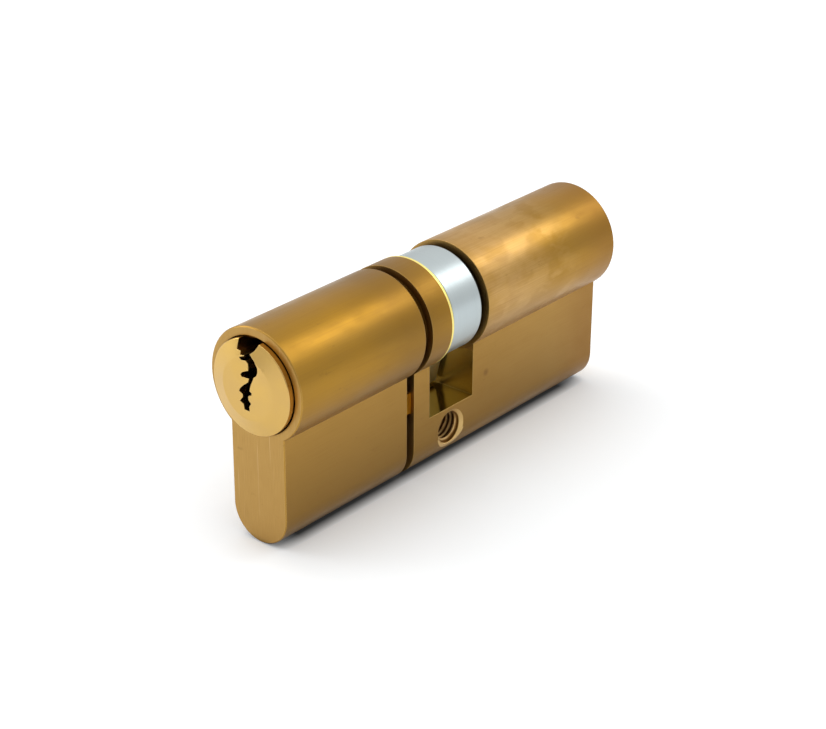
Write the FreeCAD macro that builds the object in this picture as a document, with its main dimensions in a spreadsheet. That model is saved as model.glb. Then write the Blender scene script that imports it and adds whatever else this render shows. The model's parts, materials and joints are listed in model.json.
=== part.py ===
"""Double-entry pin tumbler cylinder with a pear-shaped profile, keyed from both ends.

Lengths are millimetres. The barrel runs along Y, from the front key side at -Y to the rear one at +Y.
X crosses the body and Z points up. The origin is the centre of the threaded fixing hole.
Every piece is drawn about the barrel's axis, or about its own end face, and then placed.
"""
import FreeCAD, Part
import math
import os
import re

import Sketcher

VEC = FreeCAD.Vector

SIZES = (
    # The pear-shaped profile, measured from the barrel's axis
    ("barrel_radius", 8.5, "radius of the round upper part"),
    ("body_width", 10.0, "width of the flat body below the barrel"),
    ("profile_height", 33.0, "top of the barrel to the bottom of the body"),
    ("axis_height", 19.0, "barrel axis above the fixing hole"),
    ("front_length", 36.0, "fixing hole to the front face"),
    ("rear_length", 36.0, "fixing hole to the rear face"),
    ("end_chamfer", 0.15, "edge break round both end faces"),
    ("screw_diameter", 5.0, "nominal size of the fixing thread"),
    ("screw_sink", 6.0, "width of the countersinks of the fixing hole"),
    # The gap that the cam turns in
    ("gap_front", 3.6, "fixing hole to the gap's front wall"),
    ("gap_rear", 4.3, "fixing hole to the gap's rear wall"),
    ("gap_chamfer", 0.3, "bevel on the rim of the gap's front wall"),
    ("window_width", 10.2, "opening in the body for the cam's lever"),
    ("window_depth", 15.4, "barrel axis to the floor of that opening"),
    # The line where the front section may break away
    ("snap_distance", 9.42, "fixing hole to the middle of the snap line"),
    ("snap_width", 1.65, "width of the snap line's cut"),
    ("snap_radius", 7.35, "radius at the bottom of the cut round the barrel"),
    ("web_top", 10.2, "barrel axis to the top of the web that is left"),
    ("web_height", 3.3, "height of that web"),
    ("web_recess", 0.8, "how far the web lies behind the flat sides"),
    # The plugs
    ("plug_radius", 6.5, "radius of a plug's shank"),
    ("turn_clearance", 0.05, "radial play of what turns in a bore"),
    ("head_radius", 7.1, "radius of a plug's head"),
    ("head_clearance", 0.15, "radial gap round the head"),
    ("head_depth", 1.05, "depth of the head's seat in the end face"),
    ("rim_height", 0.95, "rim of the head, in front of the end face"),
    ("crown_height", 1.68, "flat of the head, in front of the end face"),
    ("crown_radius", 4.6, "radius of that flat"),
    ("rim_break", 0.08, "edge break of the head"),
    ("dimple_radius", 2.55, "shallow round recess on the head"),
    ("dimple_depth", 0.4, "depth of that conical recess"),
    ("dimple_side", 0.25, "recess centre beside the axis"),
    ("dimple_rise", 2.85, "recess centre above the axis"),
    ("notch_floor", 4.8, "barrel axis to the floor of the head's notch"),
    ("notch_left", 2.05, "left wall of the notch beside the axis"),
    ("notch_radius", 3.1, "round right wall of the notch"),
    ("notch_shift", 1.25, "centre of that round wall beside the axis"),
    ("notch_depth", 5.0, "depth of the notch behind the end face"),
    ("ledge_height", 0.5, "ledge at the notch's left wall above its floor"),
    # The retaining clips
    ("clip_thickness", 0.8, "thickness of a retaining clip"),
    ("clip_radius", 7.15, "outer radius of a clip"),
    ("clip_opening", 70.0, "angle of the clip's opening, degrees"),
    ("clip_play", 0.1, "axial gap of a clip to the housing's wall"),
    ("groove_radius", 5.7, "radius at the bottom of the plug's clip groove"),
    ("groove_play", 0.05, "what the groove is wider than the clip"),
    ("land_length", 0.8, "plug end beyond the groove"),
    # The cam
    ("cam_radius", 8.0, "radius of the cam's ring"),
    ("cam_width", 6.7, "width of the cam along the barrel"),
    ("cam_play", 0.15, "gap between the cam and the gap's front wall"),
    ("cam_edge", 0.2, "edge break of the cam's ring"),
    ("lever_reach", 15.0, "barrel axis to the tip of the lever"),
    ("lever_thickness", 3.9, "thickness of the lever"),
    ("lever_corner", 0.7, "radius of the corners at the tip"),
    ("lever_width", 8.6, "width of the lever along the barrel, below the barrel's rims"),
    ("lever_clearance", 0.3, "gap of the wide part of the lever to those rims"),
    ("lever_angle", 13.5, "lean of the lever from straight down, degrees"),
    ("lever_fillet", 0.5, "fillet between the lever and the ring"),
    ("step_clearance", 0.15, "gap of the cam's inner faces to plugs and clips"),
    # The coupler that joins the cam to one plug at a time
    ("dog_width", 3.0, "thickness of the coupler's bar"),
    ("dog_reach", 5.3, "half the length of the bar"),
    ("dog_grip", 1.8, "how deep the bar stands in a plug's slot"),
    ("dog_gap", 0.3, "gap of the bar to the plug that it leaves free"),
    ("dog_clearance", 0.1, "play of the bar on each side of its slots"),
    ("hub_radius", 4.2, "radius of the coupler's hub"),
    ("hub_thickness", 2.0, "thickness of the hub"),
    # The pin rows
    ("first_pin", 6.0, "end face to the first pin"),
    ("pin_pitch", 4.0, "pin to pin"),
    ("chamber_land", 1.0, "least wall beyond the last pin chamber"),
    ("pin_radius", 1.4, "radius of the pins"),
    ("chamber_clearance", 0.05, "radial play of a pin in its chamber"),
    ("pin_bevel", 0.3, "bevel at the ends of the pins"),
    ("shear_clearance", 0.02, "gap of the pins to the plug's surface"),
    ("shortest_pin", 3.6, "length of the shortest key pin"),
    ("bitting_step", 0.45, "step between key pin lengths"),
    ("pin_tip_radius", 0.5, "flat tip of a key pin"),
    ("pin_tip_height", 0.9, "height of the cone below the tip"),
    ("chamber_top", 0.4, "end of the plug's chambers above the axis"),
    ("driver_length", 4.6, "length of a driver pin"),
    ("driver_waist", 1.05, "radius of a driver pin's waist"),
    ("driver_collar", 1.1, "length of the collars at its ends"),
    ("stopper_length", 4.0, "length of a chamber's stopper"),
    ("spring_wire", 0.32, "wire of the pin springs"),
    ("spring_turns", 6.0, "turns of a pin spring"),
    ("spring_clearance", 0.12, "gap round and at the ends of a spring"),
    # The hardened drill guards
    ("guard_radius", 1.0, "radius of the drill guards"),
    ("guard_inset", 3.0, "end face to the guards"),
    ("guard_side", 3.8, "guards of the plug beside the axis"),
    ("guard_length", 5.4, "length of a guard in the plug"),
    ("guard_floor", 1.5, "foot of the plug's guards below the axis"),
    ("post_side", 2.7, "guards of the housing beside the middle"),
    ("post_top", 8.2, "barrel axis to the top of the housing's guards"),
    ("post_length", 14.2, "length of a guard in the housing"),
)

# Corners of the key slot in a plug's face, from its top left down to the foot and back up the right side:
# millimetres beside and above the plug's axis, as they are seen from outside.
KEYWAY = (
    (-0.45, 5.60), (-0.45, 4.85), (-1.45, 4.38), (-1.15, 4.00), (-0.35, 4.12), (0.00, 3.80),
    (-0.10, 2.65), (-1.10, 2.20), (-1.38, 1.80), (-1.10, 1.52), (0.20, 1.60), (0.05, 1.05),
    (-0.75, 0.42), (-1.40, -0.25), (-1.55, -0.68), (-0.90, -0.95), (-0.90, -1.42), (-1.48, -2.12),
    (-0.80, -2.40), (-0.65, -3.20), (0.35, -3.20), (0.30, -2.50), (0.65, -1.95), (0.17, -1.50),
    (0.17, -0.95), (0.80, -0.62), (0.80, -0.28), (0.42, -0.12), (0.63, 0.80), (1.15, 2.10),
    (1.65, 2.45), (1.95, 3.10), (1.97, 3.75), (1.50, 4.55), (0.55, 5.25), (0.30, 5.60),
)

# Steps of the key's cuts, counted from the end face inwards.
BITTING = (2, 4, 1, 3, 0)

# How far a cutting shape stands past the solid that it cuts.
OVERCUT = 1.0

doc = FreeCAD.newDocument("double_cylinder")


def make_sheet():
    """Writes the driving dimensions to the sheet, one row for each."""
    sheet = doc.addObject("Spreadsheet::Sheet", "Sizes")
    for row, (alias, value, note) in enumerate(SIZES, start=1):
        sheet.set("A%d" % row, note)
        sheet.set("B%d" % row, str(value))
        sheet.setAlias("B%d" % row, alias)
    doc.recompute()
    return sheet


SHEET = make_sheet()
ALIASES = frozenset(alias for alias, value, note in SIZES)


def linked(text):
    """The expression with each size's name pointing at the sheet."""
    def point_at_sheet(word):
        return "Sizes." + word.group() if word.group() in ALIASES else word.group()

    return re.sub(r"[a-z_]+", point_at_sheet, text)


def value_of(text):
    """The present value of an expression in the sizes' names."""
    return float(SHEET.evalExpression(text))


def bind(item, prop, text):
    """Ties a property of a document object to an expression in the sizes' names."""
    item.setExpression(prop, linked(text))


def new_body(label, x="0", y="0", z="axis_height"):
    """An empty body with its place tied to the sheet."""
    body = doc.addObject("PartDesign::Body", label)
    body.Label = label
    for name, text in (("x", x), ("y", y), ("z", z)):
        bind(body, "Placement.Base." + name, text)
    return body


def new_sketch(body, plane, name, offset="0"):
    """A sketch on one of the body's origin planes, or at a distance along that plane's normal."""
    sketch = body.newObject("Sketcher::SketchObject", body.Name + "_" + name)
    origin_plane = next(item for item in body.Origin.OriginFeatures if item.Role == plane)
    sketch.AttachmentSupport = [(origin_plane, "")]
    sketch.MapMode = "FlatFace"
    bind(sketch, "AttachmentOffset.Base.z", offset)
    return sketch


def hold(sketch, kind, geometry, point, text):
    """Holds a point at a signed distance from the sketch's origin."""
    index = sketch.addConstraint(Sketcher.Constraint(kind, -1, 1, geometry, point, value_of(text)))
    bind(sketch, "Constraints[%d]" % index, text)


def arc_between(start, end, centre):
    """The arc about centre, anticlockwise from start to end."""
    first = math.atan2(start.y - centre.y, start.x - centre.x)
    last = math.atan2(end.y - centre.y, end.x - centre.x)
    circle = Part.Circle(centre, VEC(0, 0, 1), (start - centre).Length)
    return Part.ArcOfCircle(circle, first, last)


def draw_outline(sketch, corners, arcs=None):
    """Draws a closed outline through corners, given as pairs of expressions.

    arcs maps the number of a corner to the centre of the anticlockwise arc that leaves it.
    """
    arcs = arcs or {}
    points = [VEC(value_of(x), value_of(y), 0) for x, y in corners]
    count = len(points)
    sides = []
    for number, start in enumerate(points):
        end = points[(number + 1) % count]
        if number in arcs:
            centre = VEC(*[value_of(text) for text in arcs[number]], 0)
            sides.append(sketch.addGeometry(arc_between(start, end, centre), False))
        else:
            sides.append(sketch.addGeometry(Part.LineSegment(start, end), False))
    for number in range(count):
        following = sides[(number + 1) % count]
        sketch.addConstraint(Sketcher.Constraint("Coincident", sides[number], 2, following, 1))
    for side, (x, y) in zip(sides, corners):
        hold(sketch, "DistanceX", side, 1, x)
        hold(sketch, "DistanceY", side, 1, y)
    for number, (x, y) in arcs.items():
        chord = points[(number + 1) % count] - points[number]
        if abs(chord.x) > abs(chord.y):
            hold(sketch, "DistanceY", sides[number], 3, y)
        else:
            hold(sketch, "DistanceX", sides[number], 3, x)


def draw_rectangle(sketch, left, right, low, high):
    """Draws an upright rectangle between four expressions."""
    draw_outline(sketch, ((left, low), (right, low), (right, high), (left, high)))


def draw_circle(sketch, x, y, radius):
    """Draws a circle whose centre and radius are expressions."""
    centre = VEC(value_of(x), value_of(y), 0)
    circle = sketch.addGeometry(Part.Circle(centre, VEC(0, 0, 1), value_of(radius)), False)
    hold(sketch, "DistanceX", circle, 3, x)
    hold(sketch, "DistanceY", circle, 3, y)
    index = sketch.addConstraint(Sketcher.Constraint("Radius", circle, value_of(radius)))
    bind(sketch, "Constraints[%d]" % index, radius)


def extrude(body, kind, sketch, length, second=None, middle=False, reverse=False):
    """A Pad or Pocket of a sketch, one way, both ways, or half to each side."""
    feature = body.newObject("PartDesign::" + kind, sketch.Name + "_" + kind.lower())
    feature.Profile = sketch
    feature.Type = "Length"
    if middle:
        feature.SideType = "Symmetric"
    elif second is not None:
        feature.SideType = "Two sides"
        feature.Type2 = "Length"
        bind(feature, "Length2", second)
    feature.Reversed = reverse
    bind(feature, "Length", length)
    return feature


def spin(body, kind, sketch, axis, angle=None):
    """A Revolution or Groove of a sketch about one of its own axes."""
    feature = body.newObject("PartDesign::" + kind, sketch.Name + "_" + kind.lower())
    feature.Profile = sketch
    feature.ReferenceAxis = (sketch, [axis])
    if angle is None:
        feature.Angle = 360.0
    else:
        feature.Midplane = True
        bind(feature, "Angle", angle)
    return feature


def edges_where(shape, test):
    """Names of the edges whose middle and ends all pass a test."""
    names = []
    for number, edge in enumerate(shape.Edges, start=1):
        middle = edge.valueAt((edge.FirstParameter + edge.LastParameter) / 2)
        if all(test(point) for point in [middle] + [vertex.Point for vertex in edge.Vertexes]):
            names.append("Edge%d" % number)
    return names


def pin_numbers(side):
    """The pins of a row: as many as fit between the end face and the snap line, or the cam's window."""
    inner_end = {"front": "snap_distance + snap_width / 2", "rear": "window_width / 2"}[side]
    reach = "first_pin + chamber_land + pin_radius + chamber_clearance"
    room = value_of("%s_length - (%s) - (%s)" % (side, inner_end, reach))
    return range(min(int(room / value_of("pin_pitch")) + 1, len(BITTING)))


def pin_place(number):
    """Distance of a pin from its end face."""
    return "first_pin + %d * pin_pitch" % number


def side_place(side, distance):
    """Place along the barrel of what lies a distance inwards from an end face."""
    if side == "front":
        return "-front_length + (%s)" % distance
    return "rear_length - (%s)" % distance


SIDES = ("front", "rear")
CHAMBER = "pin_radius + chamber_clearance"
BORE = "plug_radius + turn_clearance"
BODY_FOOT = "barrel_radius - profile_height"
ROUND_CENTRE = "barrel_radius - profile_height + body_width / 2"


def housing_profile(body):
    """The pear-shaped bar that the housing is made from, with its end edges broken."""
    sketch = new_sketch(body, "XZ_Plane", "profile")
    neck = "-sqrt(barrel_radius ^ 2 - body_width ^ 2 / 4)"
    corners = (
        ("body_width / 2", neck),
        ("-body_width / 2", neck),
        ("-body_width / 2", ROUND_CENTRE),
        ("body_width / 2", ROUND_CENTRE),
    )
    draw_outline(sketch, corners, {0: ("0", "0"), 2: ("0", ROUND_CENTRE)})
    extrude(body, "Pad", sketch, "front_length", second="rear_length")
    doc.recompute()
    bar = body.Tip
    names = []
    for end in (-value_of("front_length"), value_of("rear_length")):
        names += edges_where(bar.Shape, lambda point: abs(point.y - end) < 1e-4)
    chamfer = body.newObject("PartDesign::Chamfer", "housing_ends")
    chamfer.Base = (bar, names)
    bind(chamfer, "Size", "end_chamfer")


def housing_bores(body):
    """The plug bores with their head seats, and the gap for the cam, turned about the barrel's axis."""
    sketch = new_sketch(body, "YZ_Plane", "bores")
    seat = "head_radius + head_clearance"
    corners = (
        ("-front_length - %g" % OVERCUT, "0"),
        ("-front_length - %g" % OVERCUT, seat),
        ("-front_length + head_depth", seat),
        ("-front_length + head_depth", BORE),
        ("-gap_front", BORE),
        ("-gap_front", "barrel_radius - gap_chamfer"),
        ("-gap_front - gap_chamfer - %g" % OVERCUT, "barrel_radius + %g" % OVERCUT),
        ("gap_rear", "barrel_radius + %g" % OVERCUT),
        ("gap_rear", BORE),
        ("rear_length - head_depth", BORE),
        ("rear_length - head_depth", seat),
        ("rear_length + %g" % OVERCUT, seat),
        ("rear_length + %g" % OVERCUT, "0"),
    )
    draw_outline(sketch, corners)
    spin(body, "Groove", sketch, "H_Axis")


def housing_window(body):
    """The opening through the body below the cam. The barrel's rims stay round above it."""
    sketch = new_sketch(body, "XZ_Plane", "window")
    half = "body_width / 2 + %g" % OVERCUT
    rim = "-sqrt(barrel_radius ^ 2 - (body_width / 2 + %g) ^ 2)" % OVERCUT
    corners = (
        ("-(%s)" % half, "-window_depth"),
        (half, "-window_depth"),
        (half, rim),
        ("-(%s)" % half, rim),
    )
    points = [VEC(value_of(x), value_of(y), 0) for x, y in corners]
    sides = [
        Part.LineSegment(points[3], points[0]),
        Part.LineSegment(points[0], points[1]),
        Part.LineSegment(points[1], points[2]),
        arc_between(points[3], points[2], VEC(0, 0, 0)),
    ]
    indices = [sketch.addGeometry(side, False) for side in sides]
    sketch.addConstraint(Sketcher.Constraint("Coincident", indices[0], 2, indices[1], 1))
    sketch.addConstraint(Sketcher.Constraint("Coincident", indices[1], 2, indices[2], 1))
    sketch.addConstraint(Sketcher.Constraint("Coincident", indices[2], 2, indices[3], 2))
    sketch.addConstraint(Sketcher.Constraint("Coincident", indices[3], 1, indices[0], 1))
    for geometry, corner in ((indices[0], 3), (indices[1], 0), (indices[2], 1)):
        hold(sketch, "DistanceX", geometry, 1, corners[corner][0])
        hold(sketch, "DistanceY", geometry, 1, corners[corner][1])
    hold(sketch, "DistanceX", indices[3], 2, corners[2][0])
    hold(sketch, "DistanceY", indices[3], 2, corners[2][1])
    hold(sketch, "DistanceY", indices[3], 3, "0")
    extrude(body, "Pocket", sketch, "window_width", middle=True)


def housing_snap_line(body):
    """The cut round the barrel and through the body, with the web that carries the front section."""
    ring = new_sketch(body, "YZ_Plane", "snap_ring")
    front = "-snap_distance - snap_width / 2"
    rear = "-snap_distance + snap_width / 2"
    draw_rectangle(ring, front, rear, "snap_radius", "barrel_radius + %g" % OVERCUT)
    spin(body, "Groove", ring, "H_Axis")
    cut = new_sketch(body, "XZ_Plane", "snap_cut", "snap_distance")
    half = "body_width / 2 + %g" % OVERCUT
    top = "-(snap_radius + barrel_radius) / 2"
    draw_rectangle(cut, "-(%s)" % half, half, BODY_FOOT + " - %g" % OVERCUT, top)
    web = "body_width / 2 - web_recess"
    draw_rectangle(cut, "-(%s)" % web, web, "-web_top - web_height", "-web_top")
    extrude(body, "Pocket", cut, "snap_width", middle=True)


def housing_screw_hole(body):
    """The fixing hole across the body at its nominal diameter, countersunk on both sides."""
    sketch = new_sketch(body, "XY_Plane", "screw_hole", "-axis_height")
    wall = "body_width / 2"
    sink = "(screw_sink - screw_diameter) / 2"
    edge = "screw_sink / 2 + %g" % OVERCUT
    corners = (
        ("-(%s) - %g" % (wall, OVERCUT), "0"),
        ("(%s) + %g" % (wall, OVERCUT), "0"),
        ("(%s) + %g" % (wall, OVERCUT), edge),
        ("(%s) - (%s)" % (wall, sink), "screw_diameter / 2"),
        ("-(%s) + (%s)" % (wall, sink), "screw_diameter / 2"),
        ("-(%s) - %g" % (wall, OVERCUT), edge),
    )
    draw_outline(sketch, corners)
    spin(body, "Groove", sketch, "H_Axis")


def housing_chambers(body):
    """The pin chambers, drilled upwards into the bore, and the holes of the drill guards."""
    chambers = new_sketch(body, "XY_Plane", "chambers")
    for side in SIDES:
        for number in pin_numbers(side):
            draw_circle(chambers, "0", side_place(side, pin_place(number)), CHAMBER)
    extrude(body, "Pocket", chambers, "profile_height")
    guards = new_sketch(body, "XY_Plane", "guards", "-post_top")
    for side in SIDES:
        for x in ("-post_side", "post_side"):
            draw_circle(guards, x, side_place(side, "guard_inset"), "guard_radius")
    extrude(body, "Pocket", guards, "profile_height")


def make_housing():
    """The one-piece brass housing."""
    body = new_body("housing")
    housing_profile(body)
    housing_bores(body)
    housing_window(body)
    housing_snap_line(body)
    housing_screw_hole(body)
    housing_chambers(body)
    return body


def gap_wall(side):
    """Distance of the cam gap's wall from the end face of its side."""
    return "(%s_length - gap_%s)" % (side, side)


def plug_end(side):
    """Distance of a plug's inner end from its end face."""
    return gap_wall(side) + " + clip_play + clip_thickness + groove_play / 2 + land_length"


def plug_shape(body, side):
    """The turned blank of a plug: head, shank and clip groove."""
    sketch = new_sketch(body, "YZ_Plane", "turned")
    head_back = "head_depth - turn_clearance"
    groove = gap_wall(side) + " + clip_play - groove_play / 2"
    land = gap_wall(side) + " + clip_play + clip_thickness + groove_play / 2"
    corners = (
        ("-crown_height", "0"),
        ("-crown_height", "crown_radius"),
        ("-rim_height", "head_radius - rim_break"),
        ("-rim_height + rim_break", "head_radius"),
        (head_back, "head_radius"),
        (head_back, "plug_radius"),
        (groove, "plug_radius"),
        (groove, "groove_radius"),
        (land, "groove_radius"),
        (land, "plug_radius"),
        (plug_end(side), "plug_radius"),
        (plug_end(side), "0"),
    )
    draw_outline(sketch, corners)
    spin(body, "Revolution", sketch, "H_Axis")


def plug_keyway(body, side):
    """The warded key slot, through the whole plug."""
    sketch = new_sketch(body, "XZ_Plane", "keyway")
    draw_outline(sketch, [("%g" % x, "%g" % y) for x, y in KEYWAY])
    extrude(body, "Pocket", sketch, "2 * (%s_length)" % side, middle=True)


def plug_face(body):
    """The shallow conical recess on the head and the notch with a ledge in its upper edge."""
    dimple = new_sketch(body, "YZ_Plane", "dimple", "-dimple_side")
    bind(dimple, "AttachmentOffset.Base.y", "dimple_rise")
    corners = (
        ("-crown_height - %g" % OVERCUT, "0"),
        ("-crown_height + dimple_depth", "0"),
        ("-crown_height", "dimple_radius"),
        ("-crown_height - %g" % OVERCUT, "dimple_radius"),
    )
    draw_outline(dimple, corners)
    spin(body, "Groove", dimple, "H_Axis")
    notch = new_sketch(body, "XZ_Plane", "notch", "crown_height + %g" % OVERCUT)
    top = "head_radius + notch_radius"
    ledge = "notch_floor + ledge_height"
    corners = (
        ("-notch_left", top),
        ("-notch_left", ledge),
        ("-notch_shift", ledge),
        ("-notch_shift", "notch_floor"),
        ("-notch_shift + notch_radius", "notch_floor + notch_radius"),
        ("-notch_shift + notch_radius", top),
    )
    draw_outline(notch, corners, {3: ("-notch_shift", "notch_floor + notch_radius")})
    extrude(body, "Pocket", notch, "crown_height + %g + notch_depth" % OVERCUT)


def plug_chambers(body, side):
    """The pin chambers, which end above the key slot's middle, and the holes of the drill guards."""
    chambers = new_sketch(body, "XY_Plane", "chambers", "chamber_top")
    for number in pin_numbers(side):
        draw_circle(chambers, "0", pin_place(number), CHAMBER)
    extrude(body, "Pocket", chambers, "head_radius + chamber_top + %g" % OVERCUT)
    guards = new_sketch(body, "XY_Plane", "guards", "-guard_floor")
    for x in ("-guard_side", "guard_side"):
        draw_circle(guards, x, "guard_inset", "guard_radius")
    extrude(body, "Pocket", guards, "head_radius + guard_floor + %g" % OVERCUT, reverse=True)


def plug_slot(body, side):
    """The cross slot in the inner end that takes the coupler's bar."""
    sketch = new_sketch(body, "XY_Plane", "slot")
    half = "dog_width / 2 + dog_clearance"
    floor = plug_end(side) + " - dog_grip - 2 * dog_clearance"
    draw_rectangle(sketch, "-(%s)" % half, half, floor, plug_end(side) + " + %g" % OVERCUT)
    extrude(body, "Pocket", sketch, "4 * plug_radius", middle=True)


def make_plug(side):
    """A plug, drawn from its end face inwards. The rear one is the same part, turned about."""
    place = side_place(side, "0")
    body = new_body("plug_" + side, y=place)
    if side == "rear":
        body.Placement.Rotation = FreeCAD.Rotation(VEC(0, 0, 1), 180)
    plug_shape(body, side)
    plug_keyway(body, side)
    plug_face(body)
    plug_chambers(body, side)
    plug_slot(body, side)
    return body


def make_clip(side):
    """The open ring that keeps a plug from being pulled out."""
    body = new_body("clip_" + side, y=side_place(side, gap_wall(side) + " + clip_play"))
    turned_about = side == "rear"
    sketch = new_sketch(body, "YZ_Plane", "section")
    low, high = ("-clip_thickness", "0") if turned_about else ("0", "clip_thickness")
    draw_rectangle(sketch, low, high, "groove_radius + turn_clearance", "clip_radius")
    spin(body, "Revolution", sketch, "H_Axis", "360 - clip_opening")
    return body


def plug_face_y(side):
    """Place along the barrel of a plug's inner end."""
    return side_place(side, plug_end(side))


def cam_ring(body):
    """The turned ring, bored for the ends of both plugs, for the front clip and for the coupler's hub."""
    sketch = new_sketch(body, "YZ_Plane", "ring")
    front = "-gap_front + cam_play"
    rear = front + " + cam_width"
    step = "-gap_front + clip_play + clip_thickness + step_clearance"
    web_front = "(%s) + step_clearance" % plug_face_y("front")
    web_rear = "(%s) - step_clearance" % plug_face_y("rear")
    hub = "hub_radius + dog_clearance"
    corners = (
        (front, "clip_radius + step_clearance"),
        (front, "cam_radius - cam_edge"),
        (front + " + cam_edge", "cam_radius"),
        (rear + " - cam_edge", "cam_radius"),
        (rear, "cam_radius - cam_edge"),
        (rear, BORE),
        (web_rear, BORE),
        (web_rear, hub),
        (web_front, hub),
        (web_front, BORE),
        (step, BORE),
        (step, "clip_radius + step_clearance"),
    )
    draw_outline(sketch, corners)
    spin(body, "Revolution", sketch, "H_Axis")


LEVER_SIDE = "(lever_thickness / 2)"
LEVER_SHOULDER = "(-lever_reach + lever_corner)"


def cam_neck(body):
    """The middle of the lever, as wide as the ring and filleted into it, between the barrel's rims."""
    sketch = new_sketch(body, "XZ_Plane", "neck")
    bind(sketch, "AttachmentOffset.Rotation.Angle", "-lever_angle")
    root = "-(clip_radius + step_clearance + cam_radius - cam_edge) / 2"
    draw_rectangle(sketch, "-" + LEVER_SIDE, LEVER_SIDE, LEVER_SHOULDER, root)
    front = "gap_front - cam_play"
    extrude(body, "Pad", sketch, front, second="cam_width - (%s)" % front)
    doc.recompute()
    joined = body.Tip
    radius = value_of("cam_radius")
    names = edges_where(joined.Shape, lambda point: abs(math.hypot(point.x, point.z) - radius) < 1e-4)
    straight = [name for name in names if isinstance(joined.Shape.getElement(name).Curve, Part.Line)]
    fillet = body.newObject("PartDesign::Fillet", "cam_root")
    fillet.Base = (joined, [name for name in straight if joined.Shape.getElement(name).CenterOfMass.z < 0])
    bind(fillet, "Radius", "lever_fillet")


def cam_lever(body):
    """The wide part of the lever below the rims, which throws the bolt. It leans towards -X."""
    sketch = new_sketch(body, "XZ_Plane", "lever")
    bind(sketch, "AttachmentOffset.Rotation.Angle", "-lever_angle")
    top = "-barrel_radius - lever_clearance"
    inner = "(%s - lever_corner)" % LEVER_SIDE
    corners = (
        ("-" + LEVER_SIDE, top),
        ("-" + LEVER_SIDE, LEVER_SHOULDER),
        ("-" + inner, "-lever_reach"),
        (inner, "-lever_reach"),
        (LEVER_SIDE, LEVER_SHOULDER),
        (LEVER_SIDE, top),
    )
    draw_outline(sketch, corners, {1: ("-" + inner, LEVER_SHOULDER), 3: (inner, LEVER_SHOULDER)})
    extrude(body, "Pad", sketch, "lever_width", middle=True)


def cam_slots(body):
    """The pair of slots in the cam's bore that the coupler's bar slides in."""
    sketch = new_sketch(body, "XZ_Plane", "slots")
    half = "dog_width / 2 + dog_clearance"
    reach = "dog_reach + dog_clearance"
    draw_rectangle(sketch, "-(%s)" % half, half, "-(%s)" % reach, reach)
    extrude(body, "Pocket", sketch, "4 * cam_width", middle=True)


def make_cam():
    """The cam: a ring on the plugs' ends with one lever."""
    body = new_body("cam")
    cam_ring(body)
    cam_neck(body)
    cam_lever(body)
    cam_slots(body)
    return body


def make_coupler():
    """The sliding coupler: a bar through the cam, in the front plug's slot at rest, with a round hub."""
    body = new_body("coupler")
    bar = new_sketch(body, "XZ_Plane", "bar")
    draw_rectangle(bar, "-dog_width / 2", "dog_width / 2", "-dog_reach", "dog_reach")
    front = "-(%s) + dog_grip" % plug_face_y("front")
    rear = "(%s) - dog_gap" % plug_face_y("rear")
    extrude(body, "Pad", bar, front, second=rear)
    hub = new_sketch(body, "XZ_Plane", "hub")
    draw_circle(hub, "0", "0", "hub_radius")
    hub_front = "-(%s) - dog_clearance * 2" % plug_face_y("front")
    extrude(body, "Pad", hub, hub_front, second="hub_thickness - (%s)" % hub_front)
    return body


def turned_pin(label, y, profile):
    """A round pin on a vertical axis, from pairs of radius and height above the barrel's axis."""
    body = new_body(label, y=y)
    sketch = new_sketch(body, "XZ_Plane", "section")
    draw_outline(sketch, profile)
    spin(body, "Revolution", sketch, "V_Axis")
    return body


KEY_PIN_FOOT = "(-sqrt(plug_radius ^ 2 - (pin_radius - pin_bevel) ^ 2) + shear_clearance)"
DRIVER_TOP = "(-plug_radius - turn_clearance)"
STOPPER_TOP = "(%s + stopper_length)" % BODY_FOOT


def make_key_pin(side, number):
    """A key pin, cut to the key's step at its place. Its foot is just inside the plug's surface."""
    length = "shortest_pin + %d * bitting_step" % BITTING[number]
    tip = "%s + %s" % (KEY_PIN_FOOT, length)
    profile = (
        ("0", KEY_PIN_FOOT),
        ("pin_radius - pin_bevel", KEY_PIN_FOOT),
        ("pin_radius", KEY_PIN_FOOT + " + pin_bevel"),
        ("pin_radius", tip + " - pin_tip_height"),
        ("pin_tip_radius", tip),
        ("0", tip),
    )
    return turned_pin("key_pin_%s_%d" % (side, number + 1), side_place(side, pin_place(number)), profile)


def make_driver(side, number):
    """A waisted driver pin, just outside the plug's surface."""
    foot = DRIVER_TOP + " - driver_length"
    profile = (
        ("0", foot),
        ("pin_radius - pin_bevel", foot),
        ("pin_radius", foot + " + pin_bevel"),
        ("pin_radius", foot + " + driver_collar"),
        ("driver_waist", foot + " + driver_collar"),
        ("driver_waist", DRIVER_TOP + " - driver_collar"),
        ("pin_radius", DRIVER_TOP + " - driver_collar"),
        ("pin_radius", DRIVER_TOP + " - pin_bevel"),
        ("pin_radius - pin_bevel", DRIVER_TOP),
        ("0", DRIVER_TOP),
    )
    return turned_pin("driver_pin_%s_%d" % (side, number + 1), side_place(side, pin_place(number)), profile)


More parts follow.
